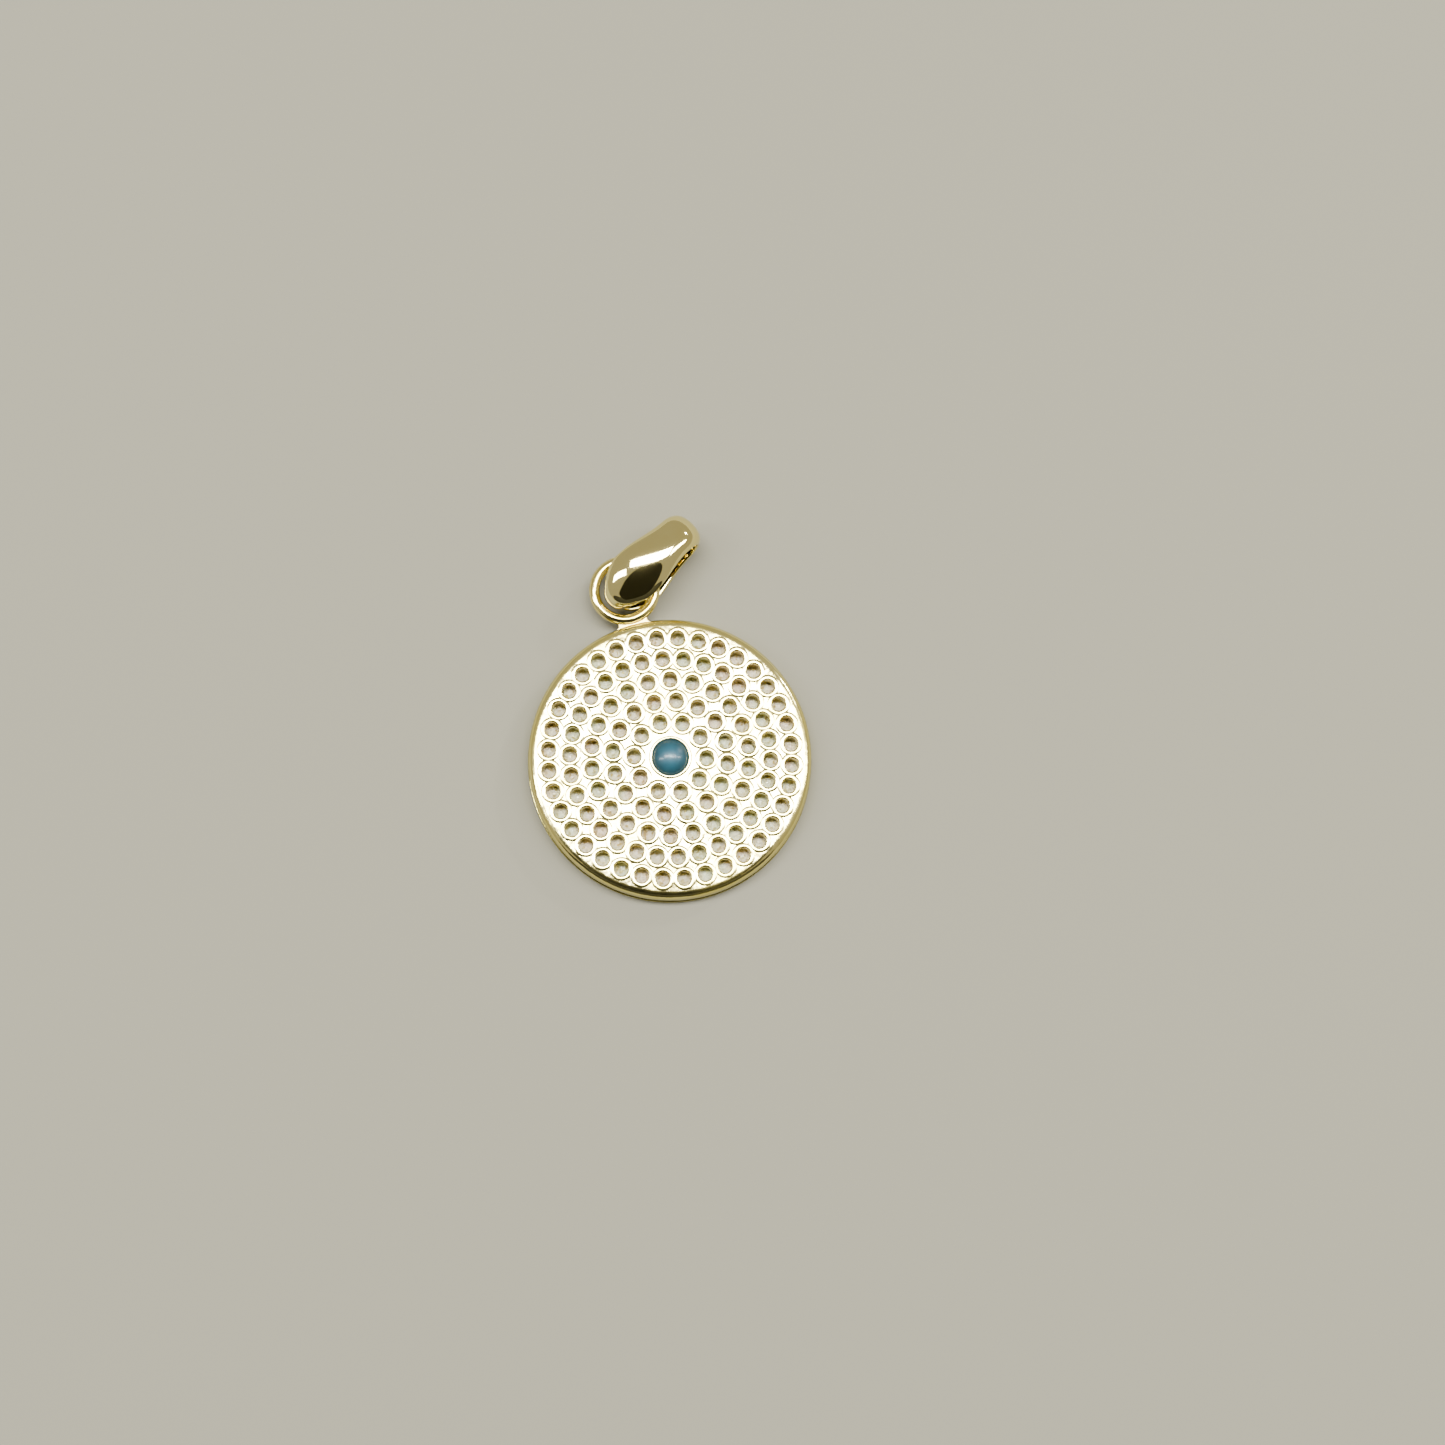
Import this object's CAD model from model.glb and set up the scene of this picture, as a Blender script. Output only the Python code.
import math

import bpy
from mathutils import Matrix, Vector


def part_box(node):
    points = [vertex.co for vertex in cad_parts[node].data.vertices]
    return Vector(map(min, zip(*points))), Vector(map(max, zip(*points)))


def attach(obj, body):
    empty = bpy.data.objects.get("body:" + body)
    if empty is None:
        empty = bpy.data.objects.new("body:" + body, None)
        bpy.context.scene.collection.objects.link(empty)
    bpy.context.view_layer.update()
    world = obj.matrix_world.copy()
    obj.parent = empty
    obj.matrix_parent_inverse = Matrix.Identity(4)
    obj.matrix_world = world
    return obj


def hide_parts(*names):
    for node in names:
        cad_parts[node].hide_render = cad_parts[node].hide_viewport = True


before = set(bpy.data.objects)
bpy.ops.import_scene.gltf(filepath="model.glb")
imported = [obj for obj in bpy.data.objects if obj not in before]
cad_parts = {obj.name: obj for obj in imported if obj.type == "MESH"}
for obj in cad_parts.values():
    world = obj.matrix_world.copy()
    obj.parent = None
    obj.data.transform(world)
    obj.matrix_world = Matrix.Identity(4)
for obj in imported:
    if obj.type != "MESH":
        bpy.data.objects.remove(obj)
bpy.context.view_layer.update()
print("frame loaded")

# Everything is modelled in millimetres and scaled to metres when it is finished
mm = 0.001


def boxInMm(node):
    low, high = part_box(node)
    return Vector(low) / mm, Vector(high) / mm


discHigh = boxInMm("disc")[1]
collarLow, collarHigh = boxInMm("centre_collar")
eyeLow, eyeHigh = boxInMm("centre_stone")
stoneLow = boxInMm("stone_ring_5")[0]
loopLow, loopHigh = boxInMm("loop")
loopMiddle = (loopLow + loopHigh) / 2


# ---- working in object and edit mode ----
def pick(*pieces):
    if bpy.context.object and bpy.context.object.mode != "OBJECT":
        bpy.ops.object.mode_set(mode="OBJECT")
    bpy.ops.object.select_all(action="DESELECT")
    for piece in pieces:
        piece.select_set(True)
    if pieces:
        bpy.context.view_layer.objects.active = pieces[0]


def editAll(piece):
    pick(piece)
    bpy.ops.object.mode_set(mode="EDIT")
    bpy.ops.mesh.select_all(action="SELECT")


def traceLine(points, name):
    # one point, pulled out along the line by extrusion
    pick()
    bpy.ops.mesh.primitive_plane_add(size=1)
    line = bpy.context.object
    line.name = name
    bpy.ops.object.mode_set(mode="EDIT")
    bpy.ops.mesh.select_all(action="SELECT")
    bpy.ops.mesh.merge(type="CENTER")
    bpy.ops.transform.translate(value=points[0])
    for here, there in zip(points, points[1:]):
        step = Vector(there) - Vector(here)
        bpy.ops.mesh.extrude_region_move(TRANSFORM_OT_translate={"value": step})
    return line


def closeShell(piece, gap=1e-4):
    editAll(piece)
    bpy.ops.mesh.remove_doubles(threshold=gap)
    bpy.ops.mesh.select_all(action="SELECT")
    bpy.ops.mesh.normals_make_consistent(inside=False)
    bpy.ops.object.mode_set(mode="OBJECT")


def arc(centre, radius, start, end, count):
    angles = [math.radians(start + (end - start) * i / count) for i in range(count + 1)]
    return [(centre[0] + radius * math.cos(a), 0, centre[1] + radius * math.sin(a)) for a in angles]


def lathe(profile, name, turns):
    # the profile holds (radius, 0, height), and is turned about the upright axis
    piece = traceLine(profile, name)
    bpy.ops.mesh.select_all(action="SELECT")
    bpy.ops.mesh.spin(steps=turns, angle=2 * math.pi, center=(0, 0, 0), axis=(0, 0, 1))
    closeShell(piece)
    return piece


def copyTo(piece, matrices, name):
    # one separate mesh for each place, then all joined to one piece
    copies = []
    for matrix in matrices:
        twin = piece.copy()
        twin.data = piece.data.copy()
        twin.data.transform(matrix)
        bpy.context.collection.objects.link(twin)
        copies.append(twin)
    bpy.data.objects.remove(piece)
    return joinTo(name, *copies)


def joinTo(name, *pieces):
    pick(*pieces)
    if len(pieces) > 1:
        bpy.ops.object.join()
    pieces[0].name = name
    return pieces[0]


def applyModifier(piece, kind, **settings):
    pick(piece)
    modifier = piece.modifiers.new(kind.title(), kind)
    for key, value in settings.items():
        setattr(modifier, key, value)
    bpy.ops.object.modifier_apply(modifier=modifier.name)


def finishPiece(piece, body, material, nodes, smoothAngle=None):
    piece.data.transform(Matrix.Scale(mm, 4))
    pick(piece)
    if smoothAngle:
        bpy.ops.object.shade_smooth_by_angle(angle=math.radians(smoothAngle))
    else:
        bpy.ops.object.shade_flat()
    piece.data.materials.clear()
    piece.data.materials.append(material)
    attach(piece, body)
    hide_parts(*nodes)
    print("made", piece.name, len(piece.data.polygons), "faces")


# ---- shader node groups that the materials share ----
def newGroup(name, inputs, outputs):
    group = bpy.data.node_groups.new(name, "ShaderNodeTree")
    for label, kind, default in inputs:
        made = group.interface.new_socket(name=label, in_out="INPUT", socket_type=kind)
        if default is not None:
            made.default_value = default
    for label, kind in outputs:
        group.interface.new_socket(name=label, in_out="OUTPUT", socket_type=kind)
    return group, group.nodes.new("NodeGroupInput"), group.nodes.new("NodeGroupOutput")


def addNode(tree, kind, **settings):
    node = tree.nodes.new(kind)
    for key, value in settings.items():
        if key in node.inputs:
            node.inputs[key].default_value = value
        else:
            setattr(node, key, value)
    return node


def makeTarnishGroup():
    # soft patches that are a little darker and duller, as gold that has been handled
    inputs = [
        ("Scale", "NodeSocketFloat", 600.0),
        ("Clean", "NodeSocketColor", (1, 1, 1, 1)),
        ("Dulled", "NodeSocketColor", (1, 1, 1, 1)),
        ("Smooth", "NodeSocketFloat", 0.1),
        ("Rough", "NodeSocketFloat", 0.2),
    ]
    outputs = [("Color", "NodeSocketColor"), ("Roughness", "NodeSocketFloat")]
    group, start, end = newGroup("handledMetal", inputs, outputs)
    place = addNode(group, "ShaderNodeTexCoord")
    patches = addNode(group, "ShaderNodeTexNoise", Detail=5.0, Roughness=0.6)
    spread = addNode(group, "ShaderNodeMapRange")
    spread.inputs["From Min"].default_value = 0.35
    spread.inputs["From Max"].default_value = 0.68
    tint = addNode(group, "ShaderNodeMix", data_type="RGBA")
    level = addNode(group, "ShaderNodeMapRange")
    wire = group.links.new
    wire(place.outputs["Object"], patches.inputs["Vector"])
    wire(start.outputs["Scale"], patches.inputs["Scale"])
    wire(patches.outputs["Fac"], spread.inputs["Value"])
    wire(spread.outputs["Result"], tint.inputs[0])
    wire(start.outputs["Clean"], tint.inputs[6])
    wire(start.outputs["Dulled"], tint.inputs[7])
    wire(spread.outputs["Result"], level.inputs["Value"])
    wire(start.outputs["Smooth"], level.inputs["To Min"])
    wire(start.outputs["Rough"], level.inputs["To Max"])
    wire(tint.outputs[2], end.inputs["Color"])
    wire(level.outputs["Result"], end.inputs["Roughness"])
    return group


def makeSurfaceGroup():
    # slow waves left by casting and polishing, with fine scratches over them
    inputs = [
        ("Wave Scale", "NodeSocketFloat", 900.0),
        ("Wave", "NodeSocketFloat", 0.3),
        ("Scratch Scale", "NodeSocketFloat", 9000.0),
        ("Scratch", "NodeSocketFloat", 0.05),
    ]
    group, start, end = newGroup("workedSurface", inputs, [("Normal", "NodeSocketVector")])
    place = addNode(group, "ShaderNodeTexCoord")
    waves = addNode(group, "ShaderNodeTexNoise", Detail=2.0)
    stretch = addNode(group, "ShaderNodeMapping")
    stretch.inputs["Scale"].default_value = (1.0, 0.12, 1.0)
    stretch.inputs["Rotation"].default_value = (0, 0, math.radians(35))
    scratches = addNode(group, "ShaderNodeTexNoise", Detail=4.0, Roughness=0.7)
    low = addNode(group, "ShaderNodeBump", Distance=0.00005)
    fine = addNode(group, "ShaderNodeBump", Distance=0.000004)
    wire = group.links.new
    wire(place.outputs["Object"], waves.inputs["Vector"])
    wire(place.outputs["Object"], stretch.inputs["Vector"])
    wire(stretch.outputs["Vector"], scratches.inputs["Vector"])
    wire(start.outputs["Wave Scale"], waves.inputs["Scale"])
    wire(start.outputs["Scratch Scale"], scratches.inputs["Scale"])
    wire(waves.outputs["Fac"], low.inputs["Height"])
    wire(start.outputs["Wave"], low.inputs["Strength"])
    wire(scratches.outputs["Fac"], fine.inputs["Height"])
    wire(start.outputs["Scratch"], fine.inputs["Strength"])
    wire(low.outputs["Normal"], fine.inputs["Normal"])
    wire(fine.outputs["Normal"], end.inputs["Normal"])
    return group


handledMetal = makeTarnishGroup()
workedSurface = makeSurfaceGroup()


def newMaterial(name):
    material = bpy.data.materials.new(name)
    material.use_nodes = True
    tree = material.node_tree
    return material, tree, tree.nodes["Principled BSDF"]


def makeGold(name, look):
    material, tree, shader = newMaterial(name)
    shader.inputs["Metallic"].default_value = 1.0
    patches = addNode(tree, "ShaderNodeGroup", node_tree=handledMetal)
    for socket in ("Scale", "Clean", "Dulled", "Smooth", "Rough"):
        patches.inputs[socket].default_value = look[socket]
    surface = addNode(tree, "ShaderNodeGroup", node_tree=workedSurface)
    for socket in ("Wave Scale", "Wave", "Scratch Scale", "Scratch"):
        surface.inputs[socket].default_value = look[socket]
    tree.links.new(patches.outputs["Color"], shader.inputs["Base Color"])
    tree.links.new(patches.outputs["Roughness"], shader.inputs["Roughness"])
    tree.links.new(surface.outputs["Normal"], shader.inputs["Normal"])
    return material


recess = {
    "shallow": 0.00117,  # metres above the ground, where the darker gold starts
    "deep": 0.00098,
    "tone": (0.50, 0.43, 0.11, 1),
}


def darkenRecesses(material):
    # the gold is darker down in the holes, where no polishing tool reaches
    tree = material.node_tree
    shader = tree.nodes["Principled BSDF"]
    clean = shader.inputs["Base Color"].links[0].from_socket
    place = addNode(tree, "ShaderNodeTexCoord")
    height = addNode(tree, "ShaderNodeSeparateXYZ")
    depth = addNode(tree, "ShaderNodeMapRange")
    depth.inputs["From Min"].default_value = recess["shallow"]
    depth.inputs["From Max"].default_value = recess["deep"]
    stain = addNode(tree, "ShaderNodeMix", data_type="RGBA")
    stain.inputs[7].default_value = recess["tone"]
    tree.links.new(place.outputs["Object"], height.inputs[0])
    tree.links.new(height.outputs["Z"], depth.inputs["Value"])
    tree.links.new(depth.outputs["Result"], stain.inputs[0])
    tree.links.new(clean, stain.inputs[6])
    tree.links.new(stain.outputs[2], shader.inputs["Base Color"])


goldLooks = {
    "castGold": {
        "Clean": (0.96, 0.85, 0.34, 1), "Dulled": (0.88, 0.75, 0.22, 1), "Scale": 500.0,
        "Smooth": 0.11, "Rough": 0.2, "Wave Scale": 1500.0, "Wave": 0.45,
        "Scratch Scale": 12000.0, "Scratch": 0.25,
    },
    "collarGold": {
        "Clean": (0.96, 0.85, 0.40, 1), "Dulled": (0.90, 0.76, 0.27, 1), "Scale": 900.0,
        "Smooth": 0.1, "Rough": 0.2, "Wave Scale": 1800.0, "Wave": 0.2,
        "Scratch Scale": 12000.0, "Scratch": 0.15,
    },
    "wireGold": {
        "Clean": (0.92, 0.80, 0.32, 1), "Dulled": (0.80, 0.66, 0.20, 1), "Scale": 700.0,
        "Smooth": 0.08, "Rough": 0.2, "Wave Scale": 1200.0, "Wave": 0.3,
        "Scratch Scale": 9000.0, "Scratch": 0.2,
    },
    "solderGold": {
        "Clean": (0.70, 0.58, 0.23, 1), "Dulled": (0.48, 0.38, 0.12, 1), "Scale": 1600.0,
        "Smooth": 0.16, "Rough": 0.34, "Wave Scale": 2500.0, "Wave": 0.5,
        "Scratch Scale": 9000.0, "Scratch": 0.3,
    },
    "mirrorGold": {
        "Clean": (0.94, 0.83, 0.36, 1), "Dulled": (0.88, 0.75, 0.28, 1), "Scale": 350.0,
        "Smooth": 0.03, "Rough": 0.08, "Wave Scale": 420.0, "Wave": 0.1,
        "Scratch Scale": 7000.0, "Scratch": 0.1,
    },
}
golds = {name: makeGold(name, look) for name, look in goldLooks.items()}
darkenRecesses(golds["castGold"])


def makeClearStone():
    material, tree, shader = newMaterial("clearStone")
    shader.inputs["Roughness"].default_value = 0.06
    shader.inputs["IOR"].default_value = 2.15
    shader.inputs["Transmission Weight"].default_value = 0.12
    shader.inputs["Metallic"].default_value = 0.12
    place = addNode(tree, "ShaderNodeTexCoord")
    glints = addNode(tree, "ShaderNodeTexVoronoi", Scale=7000.0)
    tints = addNode(tree, "ShaderNodeTexNoise", Scale=700.0, Detail=1.0)
    ramp = addNode(tree, "ShaderNodeValToRGB")
    ramp.color_ramp.elements[0].color = (0.55, 0.46, 0.24, 1)
    ramp.color_ramp.elements[0].position = 0.15
    ramp.color_ramp.elements[1].color = (1.0, 1.0, 0.95, 1)
    ramp.color_ramp.elements[1].position = 0.4
    blush = addNode(tree, "ShaderNodeValToRGB")
    blush.color_ramp.elements[0].color = (1.0, 0.86, 0.8, 1)
    blush.color_ramp.elements[0].position = 0.35
    blush.color_ramp.elements[1].color = (0.92, 1.0, 0.86, 1)
    blush.color_ramp.elements[1].position = 0.65
    blend = addNode(tree, "ShaderNodeMix", data_type="RGBA", blend_type="MULTIPLY")
    blend.inputs[0].default_value = 1.0
    wire = tree.links.new
    wire(place.outputs["Object"], glints.inputs["Vector"])
    wire(place.outputs["Object"], tints.inputs["Vector"])
    facets = addNode(tree, "ShaderNodeBump", Strength=0.7, Distance=0.00006)
    wire(glints.outputs["Distance"], facets.inputs["Height"])
    wire(facets.outputs["Normal"], shader.inputs["Normal"])
    wire(glints.outputs["Color"], ramp.inputs["Fac"])
    wire(tints.outputs["Fac"], blush.inputs["Fac"])
    wire(ramp.outputs["Color"], blend.inputs[6])
    wire(blush.outputs["Color"], blend.inputs[7])
    wire(blend.outputs[2], shader.inputs["Base Color"])
    return material


def makeEyeStone():
    material, tree, shader = newMaterial("eyeStone")
    shader.inputs["Roughness"].default_value = 0.36
    shader.inputs["IOR"].default_value = 1.33
    shader.inputs["Coat Weight"].default_value = 0.12
    shader.inputs["Coat Roughness"].default_value = 0.03
    shader.inputs["Subsurface Weight"].default_value = 0.3
    shader.inputs["Subsurface Scale"].default_value = 0.0003
    shader.inputs["Subsurface Radius"].default_value = (0.3, 0.8, 1.0)
    place = addNode(tree, "ShaderNodeTexCoord")
    core = addNode(tree, "ShaderNodeVectorMath", operation="LENGTH")
    flatten = addNode(tree, "ShaderNodeVectorMath", operation="MULTIPLY")
    flatten.inputs[1].default_value = (1, 1, 0)
    reach = addNode(tree, "ShaderNodeMapRange")
    reach.inputs["From Min"].default_value = 0.0
    reach.inputs["From Max"].default_value = 0.00086
    cloud = addNode(tree, "ShaderNodeTexNoise", Scale=2200.0, Detail=4.0)
    drift = addNode(tree, "ShaderNodeMath", operation="MULTIPLY_ADD")
    drift.inputs[1].default_value = 0.25
    ramp = addNode(tree, "ShaderNodeValToRGB")
    ramp.color_ramp.elements[0].color = (0.085, 0.215, 0.24, 1)
    ramp.color_ramp.elements[0].position = 0.1
    ramp.color_ramp.elements[1].color = (0.006, 0.026, 0.036, 1)
    ramp.color_ramp.elements[1].position = 1.0
    middle = ramp.color_ramp.elements.new(0.3)
    middle.color = (0.014, 0.066, 0.095, 1)
    wire = tree.links.new
    wire(place.outputs["Object"], flatten.inputs[0])
    wire(flatten.outputs["Vector"], core.inputs[0])
    wire(core.outputs["Value"], reach.inputs["Value"])
    wire(place.outputs["Object"], cloud.inputs["Vector"])
    wire(cloud.outputs["Fac"], drift.inputs[0])
    wire(reach.outputs["Result"], drift.inputs[2])
    wire(drift.outputs["Value"], ramp.inputs["Fac"])
    wire(ramp.outputs["Color"], shader.inputs["Base Color"])
    return material


clearStone = makeClearStone()
eyeStone = makeEyeStone()
print("materials ready")

# ---- the disc, with its seats, lips and beads ----
disc = {
    "back": 1.28,  # height of the back between the lips
    "flangeOut": 0.05,
    "flangeTall": 0.25,
    "edgeRound": 0.4,
    "borderWide": 0.45,
    "fieldDrop": 0.15,
    "groove": 0.02,
    "turns": 192,
}
seats = {
    "rings": [10, 16, 22, 30, 36],
    "turn": 1.4,  # past the line of the loop
    "firstRadius": 1.7,
    "pitch": 1.0,
    "hole": 0.325,
    "crest": 0.45,
    "foot": 0.57,
    "bore": 0.458,
    "bearing": 0.33,  # height where the stone rests
    "wall": 0.475,
    "turns": 32,
    "beadRadius": 0.12,
    "beadAside": 0.3,
}


def seatPlaces(ring):
    count = seats["rings"][ring]
    radius = seats["firstRadius"] + ring * seats["pitch"]
    slide = Matrix.Translation((radius, 0, 0))
    turns = [math.radians(90 + seats["turn"] + 360 * k / count) for k in range(count)]
    return [Matrix.Rotation(turn, 4, "Z") @ slide for turn in turns]


allSeats = [place for ring in range(len(seats["rings"])) for place in seatPlaces(ring)]


def makeDiscBlank():
    wall = discHigh.x - disc["flangeOut"]
    flange = discHigh.x
    back, low = disc["back"], disc["flangeTall"]
    inner = wall - disc["borderWide"]
    profile = [(0, 0, back)]
    profile += arc((wall - disc["edgeRound"], back - disc["edgeRound"]), disc["edgeRound"], 90, 0, 12)
    profile += [(wall, 0, low + 0.05), (wall - disc["groove"], 0, low + 0.03), (wall, 0, low)]
    profile += arc((flange - 0.05, low - 0.05), 0.05, 70, 0, 4)
    profile += arc((flange - 0.05, 0.05), 0.05, 0, -90, 4)
    profile += arc((inner + 0.04, 0.04), 0.04, -90, -180, 4)
    profile += [(inner, 0, disc["fieldDrop"]), (0, 0, disc["fieldDrop"])]
    return lathe(profile, "discBlank", disc["turns"])


def drillDisc(blank):
    pick()
    bpy.ops.mesh.primitive_cylinder_add(vertices=seats["turns"], radius=seats["bore"] + 0.004, depth=4)
    drills = copyTo(bpy.context.object, allSeats, "drills")
    pick()
    bpy.ops.mesh.primitive_cylinder_add(vertices=64, radius=collarHigh.x + 0.005, depth=4)
    drills = joinTo("drills", drills, bpy.context.object)
    applyModifier(blank, "BOOLEAN", object=drills, operation="DIFFERENCE", solver="EXACT")
    bpy.data.objects.remove(drills)
    return blank


def makeSeat():
    # the wall of one hole, from its bore at the front to the rounded lip at the back
    back, tall = disc["back"], discHigh.z - disc["back"]
    hole, crest, foot = seats["hole"], seats["crest"], seats["foot"]
    profile = [
        (seats["bore"], 0, disc["fieldDrop"] - 0.002),
        (seats["bore"], 0, stoneLow.z + 0.17),
        (hole, 0, seats["bearing"]),
        (hole, 0, back - 0.1),
        (hole, 0, back + tall - 0.06),
        (hole + 0.008, 0, back + tall - 0.03),
        (hole + 0.03, 0, back + tall - 0.008),
        (hole + 0.06, 0, back + tall),
        (crest, 0, back + tall),
        (crest + 0.04, 0, back + 0.85 * tall),
        (crest + 0.08, 0, back + 0.45 * tall),
        (foot - 0.02, 0, back + 0.12 * tall),
        (foot, 0, back - 0.001),
        (foot, 0, back - 0.03),
        (seats["wall"], 0, back - 0.08),
        (seats["wall"], 0, disc["fieldDrop"] - 0.002),
        (seats["bore"], 0, disc["fieldDrop"] - 0.002),
    ]
    return lathe(profile, "seat", seats["turns"])


def makeBeads():
    # two grains are raised in each gap between neighbours, so that four hold each stone
    places = []
    for ring, count in enumerate(seats["rings"]):
        radius = seats["firstRadius"] + ring * seats["pitch"]
        for k in range(count):
            turn = Matrix.Rotation(math.radians(90 + seats["turn"] + 360 * (k + 0.5) / count), 4, "Z")
            for side in (-1, 1):
                out = radius + side * seats["beadAside"]
                places.append(turn @ Matrix.Translation((out, 0, disc["fieldDrop"])))
    pick()
    bpy.ops.mesh.primitive_uv_sphere_add(segments=10, ring_count=6, radius=seats["beadRadius"])
    return copyTo(bpy.context.object, places, "beads")


discPiece = joinTo("disc_body", drillDisc(makeDiscBlank()), copyTo(makeSeat(), allSeats, "lips"), makeBeads())
finishPiece(discPiece, "pendant", golds["castGold"], ["disc"], smoothAngle=40)


# ---- the small stones ----
brilliant = {
    "across": 0.9,
    "tableZ": stoneLow.z,
    "crown": 0.135,
    "girdle": 0.027,
    "pavilion": 0.387,
}


def addFacetRing(corners, radius, height, turn):
    bpy.ops.mesh.primitive_circle_add(
        vertices=corners, radius=radius, location=(0, 0, height), rotation=(0, 0, turn))


def makeBrilliant():
    half = brilliant["across"] / 2
    girdleZ = brilliant["tableZ"] + brilliant["crown"]
    pavilionZ = girdleZ + brilliant["girdle"]
    eighth = math.radians(22.5)
    pick()
    bpy.ops.mesh.primitive_circle_add(vertices=8, radius=0.55 * half, location=(0, 0, brilliant["tableZ"]))
    cut = bpy.context.object
    bpy.ops.object.mode_set(mode="EDIT")
    addFacetRing(8, 0.80 * half, brilliant["tableZ"] + 0.55 * brilliant["crown"], eighth)
    addFacetRing(16, half, girdleZ, 0)
    addFacetRing(16, half, pavilionZ, 0)
    addFacetRing(8, 0.36 * half, pavilionZ + 0.66 * brilliant["pavilion"], eighth)
    addFacetRing(8, 0.03 * half, pavilionZ + brilliant["pavilion"], 0)
    bpy.ops.mesh.select_all(action="SELECT")
    bpy.ops.mesh.convex_hull()
    bpy.ops.object.mode_set(mode="OBJECT")
    bpy.ops.object.transform_apply(location=True, rotation=True, scale=True)
    return cut


def setStones(node, places):
    stones = copyTo(makeBrilliant(), places, "cut_" + node)
    finishPiece(stones, "pendant", clearStone, [node])


for ring in range(len(seats["rings"])):
    places = seatPlaces(ring)
    if "stone_ring_%d" % (ring + 1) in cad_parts:
        setStones("stone_ring_%d" % (ring + 1), places)
    else:
        for k, place in enumerate(places):
            setStones("stone_%d_%d" % (ring + 1, k + 1), [place])

# ---- the centre stone and its collar ----
eye = {
    "across": 1.72,
    "dome": 1.15,
    "frontDome": 3.0,
    "hidden": 0.02,  # how far the stone's edge runs under the collar's lips
    "lip": 0.12,
    "collarWall": 0.12,
    "turns": 96,
}


def makeCollar():
    outer, inner = collarHigh.x, collarHigh.x - eye["collarWall"]
    low, high = collarLow.z, collarHigh.z
    mouth = eye["across"] / 2
    profile = [(inner, 0, low + eye["lip"]), (mouth, 0, low + eye["lip"]), (mouth, 0, low + 0.03)]
    profile += [(mouth + 0.03, 0, low), (outer - 0.02, 0, low), (outer, 0, low + 0.02)]
    profile += arc((outer - 0.075, high - 0.075), 0.075, 0, 80, 6)
    profile += arc((mouth + 0.045, high - 0.045), 0.045, 100, 180, 5)
    profile += [(mouth, 0, high - eye["lip"]), (inner, 0, high - eye["lip"]), (inner, 0, low + eye["lip"])]
    return lathe(profile, "collar_tube", eye["turns"])


def makeEye():
    rim = eye["across"] / 2 + eye["hidden"]
    top = eyeHigh.z
    sweep = math.degrees(math.asin(rim / eye["dome"]))
    back = arc((0, top - eye["dome"]), eye["dome"], 90, 90 - sweep, 16)
    frontSweep = math.degrees(math.asin(rim / eye["frontDome"]))
    front = arc((0, eyeLow.z + eye["frontDome"]), eye["frontDome"], -90 + frontSweep, -90, 8)
    return lathe(back + front, "eye_stone", eye["turns"])


finishPiece(makeCollar(), "pendant", golds["collarGold"], ["centre_collar"], smoothAngle=35)
finishPiece(makeEye(), "pendant", eyeStone, ["centre_stone"], smoothAngle=35)

# ---- the loop and its solder ----
loop = {"wire": 0.5, "turns": 128, "sides": 28}
solder = {
    "wallSide": 0.92,  # half its width against the disc
    "wireSide": 0.76,
    "bite": 0.06,  # how far it runs into the disc's side
    "wireBite": 0.08,
    "rise": 0.04,
    "tall": 0.21,
    "grain": 0.02,
    "rounding": 20,
}


def makeLoop():
    radius = (loopHigh.x - loopLow.x - loop["wire"]) / 2
    pick()
    bpy.ops.mesh.primitive_torus_add(
        location=loopMiddle, major_segments=loop["turns"], minor_segments=loop["sides"],
        major_radius=radius, minor_radius=loop["wire"] / 2)
    wire = bpy.context.object
    wire.name = "loop_wire"
    bpy.ops.object.transform_apply(location=True, rotation=True, scale=True)
    return wire


def makeSolder():
    # metal drawn up between the wire and the side wall, with a hollow curve in each corner
    wall = discHigh.x - disc["flangeOut"] - solder["bite"]
    wire = loopHigh.x - solder["wireBite"]
    spread = [solder["wallSide"] * (i / 8 - 1) for i in range(17)]
    narrow = [solder["wireSide"] * (1 - i / 6) for i in range(13)]
    outline = [(x, math.sqrt(wall ** 2 - x * x), 0) for x in spread]
    outline += [(0.74, wall + 0.08, 0), (0.7, wall + 0.18, 0)]
    outline += [(x, loopMiddle.y - math.sqrt(wire ** 2 - x * x), 0) for x in narrow]
    outline += [(-0.7, wall + 0.18, 0), (-0.74, wall + 0.08, 0)]
    pool = traceLine(outline + outline[:1], "solder_pool")
    bpy.ops.mesh.select_all(action="SELECT")
    bpy.ops.mesh.remove_doubles(threshold=1e-4)
    bpy.ops.mesh.select_all(action="SELECT")
    bpy.ops.mesh.edge_face_add()
    bpy.ops.transform.translate(value=(0, 0, loopLow.z + solder["rise"]))
    bpy.ops.mesh.extrude_region_move(TRANSFORM_OT_translate={"value": (0, 0, solder["tall"])})
    closeShell(pool)
    applyModifier(pool, "REMESH", mode="VOXEL", voxel_size=solder["grain"])
    applyModifier(pool, "SMOOTH", factor=0.8, iterations=solder["rounding"])
    return pool


finishPiece(makeLoop(), "pendant", golds["wireGold"], ["loop"], smoothAngle=60)
finishPiece(makeSolder(), "pendant", golds["solderGold"], ["loop_solder"], smoothAngle=60)

# ---- the bail ----
bail = {
    "depth": 2.9,
    "tip": 0.95,  # outer radius of the lower end
    "top": 1.3,  # and of the upper end
    "side": 5.8,  # and of the two sides
    "wide": 2.5,
    "wideAt": 0.3,  # part of the way up
    "waistAt": 0.8,
    "tipWide": 1.15,
    "topWide": 1.85,
    "thick": 0.4,
    "topThick": 0.58,
    "edgeThick": 0.12,
    "turn": 60,
    "slip": 1.05,
    "aside": 0.06,
    "floorGap": 0.02,
}


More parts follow.
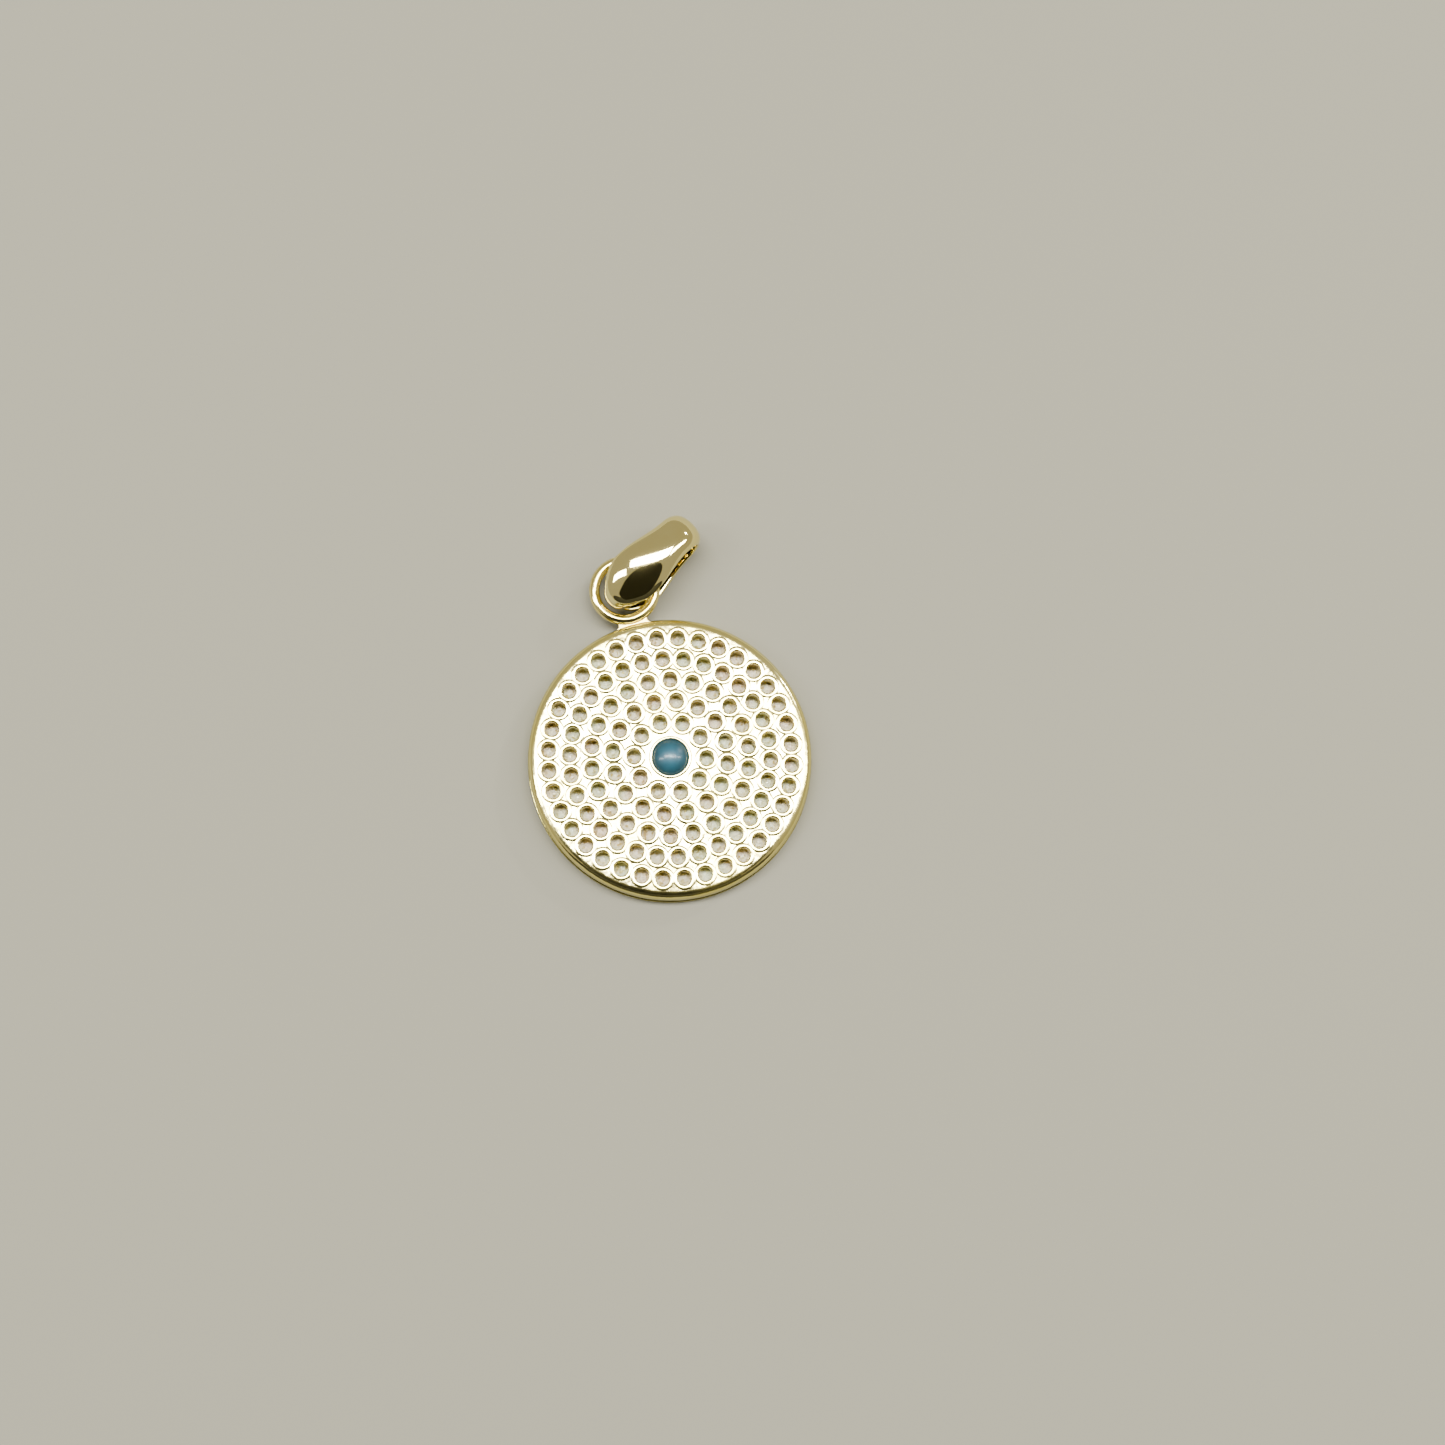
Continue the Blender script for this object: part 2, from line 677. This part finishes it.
def makeBail():
    half = bail["depth"] / 2
    sideOff = bail["side"] - half
    tipRun = math.sqrt((half - bail["tip"]) * (2 * bail["side"] - bail["tip"] - half))
    topRun = math.sqrt((half - bail["top"]) * (2 * bail["side"] - bail["top"] - half))
    belly = bail["tip"] + tipRun
    length = belly + topRun + bail["top"]
    tipTurn = math.atan2(sideOff, tipRun)
    topTurn = math.pi - math.atan2(sideOff, topRun)

    # the section at the lower end: domed outside with round shoulders, flat inside
    thick, brow = bail["thick"], bail["thick"] - bail["edgeThick"]
    outside = [math.sin(math.pi * i / 32) for i in range(-16, 17)]
    section = [(brow * (0.55 * a ** 2 + 0.45 * a ** 6), a) for a in outside]
    rim = [(brow + 0.025, 1.012), (brow + 0.06, 1.012), (thick - 0.03, 0.99), (thick - 0.005, 0.96)]
    section += rim + [(thick, side * 0.3) for side in (3, 2, 1, 0, -1, -2, -3)]
    section += [(deep, -across) for deep, across in reversed(rim)]
    section.append(section[0])
    band = traceLine([(deep, across, 0) for deep, across in section], "bail_band")
    bpy.ops.mesh.select_all(action="SELECT")
    bpy.ops.mesh.remove_doubles(threshold=1e-5)
    bpy.ops.mesh.select_all(action="SELECT")
    # four arcs, each tangent to the next: half the lower end, a side, the upper end, the other side
    arcs = [
        (tipTurn, (bail["tip"], 0, 0), 24),
        (topTurn - tipTurn, (belly, 0, -sideOff), 56),
        (2 * (math.pi - topTurn), (length - bail["top"], 0, 0), 64),
        (topTurn - tipTurn, (belly, 0, sideOff), 56),
        (tipTurn, (bail["tip"], 0, 0), 24),
    ]
    for angle, centre, steps in arcs:
        bpy.ops.mesh.spin(steps=steps, angle=angle, center=centre, axis=(0, -1, 0))
    closeShell(band, gap=1e-3)

    # the band is widest about a third of the way up, and it thickens to the upper end
    for vertex in band.data.vertices:
        x, z = vertex.co.x, vertex.co.z
        if math.atan2(abs(z), bail["tip"] - x) < tipTurn:
            centre, radius = (bail["tip"], 0), bail["tip"]
        elif math.atan2(abs(z), x - length + bail["top"]) < math.pi - topTurn:
            centre, radius = (length - bail["top"], 0), bail["top"]
        else:
            centre, radius = (belly, -math.copysign(sideOff, z)), bail["side"]
        out = Vector((x - centre[0], z - centre[1]))
        deep = radius - out.length
        out.normalize()
        along = min(max(centre[0] + radius * out.x, 0), length) / length
        extra = (bail["topThick"] - thick) * along
        deep = deep * (1 + extra / brow) if deep < brow else deep + extra
        vertex.co.x, vertex.co.z = centre[0] + (radius - deep) * out.x, centre[1] + (radius - deep) * out.y
        widest = bail["wideAt"]
        if along < widest:
            wide = bail["tipWide"] + (bail["wide"] - bail["tipWide"]) * math.sin(math.pi / 2 * along / widest)
        else:
            past = min(1, (along - widest) / (bail["waistAt"] - widest))
            wide = bail["topWide"] + (bail["wide"] - bail["topWide"]) * (1 + math.cos(math.pi * past)) / 2
        vertex.co.y *= wide / 2

    # laid on its side, with the loop's wire inside its lower end
    lay = Matrix.Translation((0, loopMiddle.y, half + bail["floorGap"]))
    lay = lay @ Matrix.Rotation(math.radians(90 - bail["turn"]), 4, "Z")
    lay = lay @ Matrix.Translation((-bail["slip"], -bail["aside"], 0))
    band.data.transform(lay)
    return band


finishPiece(makeBail(), "bail", golds["mirrorGold"], ["bail"], smoothAngle=50)

# ---- floor, camera and lights ----
stageLook = {
    "floorWide": 1.2,
    "floorTone": (0.145, 0.139, 0.103, 1),
    "cardTone": (0.012, 0.012, 0.011, 1),
    "roomTone": (0.55, 0.51, 0.42, 1),
    "roomLight": 0.85,
}


def makeMatt(name, tone, roughness):
    material, tree, shader = newMaterial(name)
    shader.inputs["Base Color"].default_value = tone
    shader.inputs["Roughness"].default_value = roughness
    return material


pick()
bpy.ops.mesh.primitive_plane_add(size=stageLook["floorWide"], location=(0, 0, -0.00001))
floor = bpy.context.object
floor.name = "floor"
floor.data.materials.append(makeMatt("paleFloor", stageLook["floorTone"], 0.9))

view = {
    "lens": 50,
    "distance": 0.0945,
    "tilt": 9.5,  # from straight down, towards the lower edge of the frame
    "lean": 2.5,  # and towards the left edge
    "roll": 15.4,  # the loop points this far left of straight up
    "aimRight": 0.00245,
    "aimUp": 0.00171,
}
up = Matrix.Rotation(math.radians(-view["roll"]), 3, "Z") @ Vector((0, 1, 0))
right = Vector((up.y, -up.x, 0))
toCamera = Vector((0, 0, 1)) - up * math.tan(math.radians(view["tilt"]))
toCamera = (toCamera - right * math.tan(math.radians(view["lean"]))).normalized()
aim = right * view["aimRight"] + up * view["aimUp"] + Vector((0, 0, 0.001))
camera = bpy.data.objects.new("camera", bpy.data.cameras.new("camera"))
bpy.context.collection.objects.link(camera)
camera.data.lens = view["lens"]
camera.data.clip_start = 0.001
camera.location = aim + toCamera * view["distance"]
sideways = up.cross(toCamera).normalized()
camera.rotation_euler = Matrix((sideways, toCamera.cross(sideways), toCamera)).transposed().to_euler()
bpy.context.scene.camera = camera


def addPanel(name, where, size, power, tone):
    # a soft rectangular light that faces the pendant
    light = bpy.data.lights.new(name, "AREA")
    light.shape = "RECTANGLE"
    light.size, light.size_y = size
    light.energy = power
    light.color = tone
    panel = bpy.data.objects.new(name, light)
    bpy.context.collection.objects.link(panel)
    place = right * where[0] + up * where[1] + Vector((0, 0, where[2]))
    panel.location = place
    panel.rotation_euler = place.to_track_quat("Z", "Y").to_euler()


panels = [
    ("overhead", (0.0, 0.09, 0.6), (0.6, 0.11), 14.0, (1.0, 0.99, 0.96)),
    ("left", (-0.44, -0.02, 0.5), (0.08, 0.26), 2.8, (0.97, 0.99, 1.0)),
    ("right", (0.44, 0.06, 0.5), (0.08, 0.26), 2.8, (1.0, 0.99, 0.96)),
    ("lamp", (0.42, 0.34, 0.3), (0.035, 0.035), 1.6, (1.0, 1.0, 1.0)),
]
for panel in panels:
    addPanel(*panel)
cardBlack = makeMatt("darkCard", stageLook["cardTone"], 0.8)


def addCard(name, where, size):
    # a dark round board that is only seen mirrored in the pendant
    pick()
    bpy.ops.mesh.primitive_circle_add(vertices=64, radius=0.5, fill_type="NGON")
    card = bpy.context.object
    card.name = name
    card.scale = (size[0], size[1], 1)
    card.location = right * where[0] + up * where[1] + Vector((0, 0, where[2]))
    card.rotation_euler = card.location.to_track_quat("Z", "Y").to_euler()
    card.visible_camera = False
    card.visible_diffuse = False
    card.visible_shadow = False
    card.data.materials.append(cardBlack)


addCard("camera_card", (-0.008, -0.1, 0.2), (0.28, 0.26))
addCard("lower_card", (0, -0.3, 0.1), (0.9, 0.4))

world = bpy.data.worlds.new("room")
bpy.context.scene.world = world
world.use_nodes = True
background = world.node_tree.nodes["Background"]
background.inputs["Color"].default_value = stageLook["roomTone"]
background.inputs["Strength"].default_value = stageLook["roomLight"]
print("stage ready")
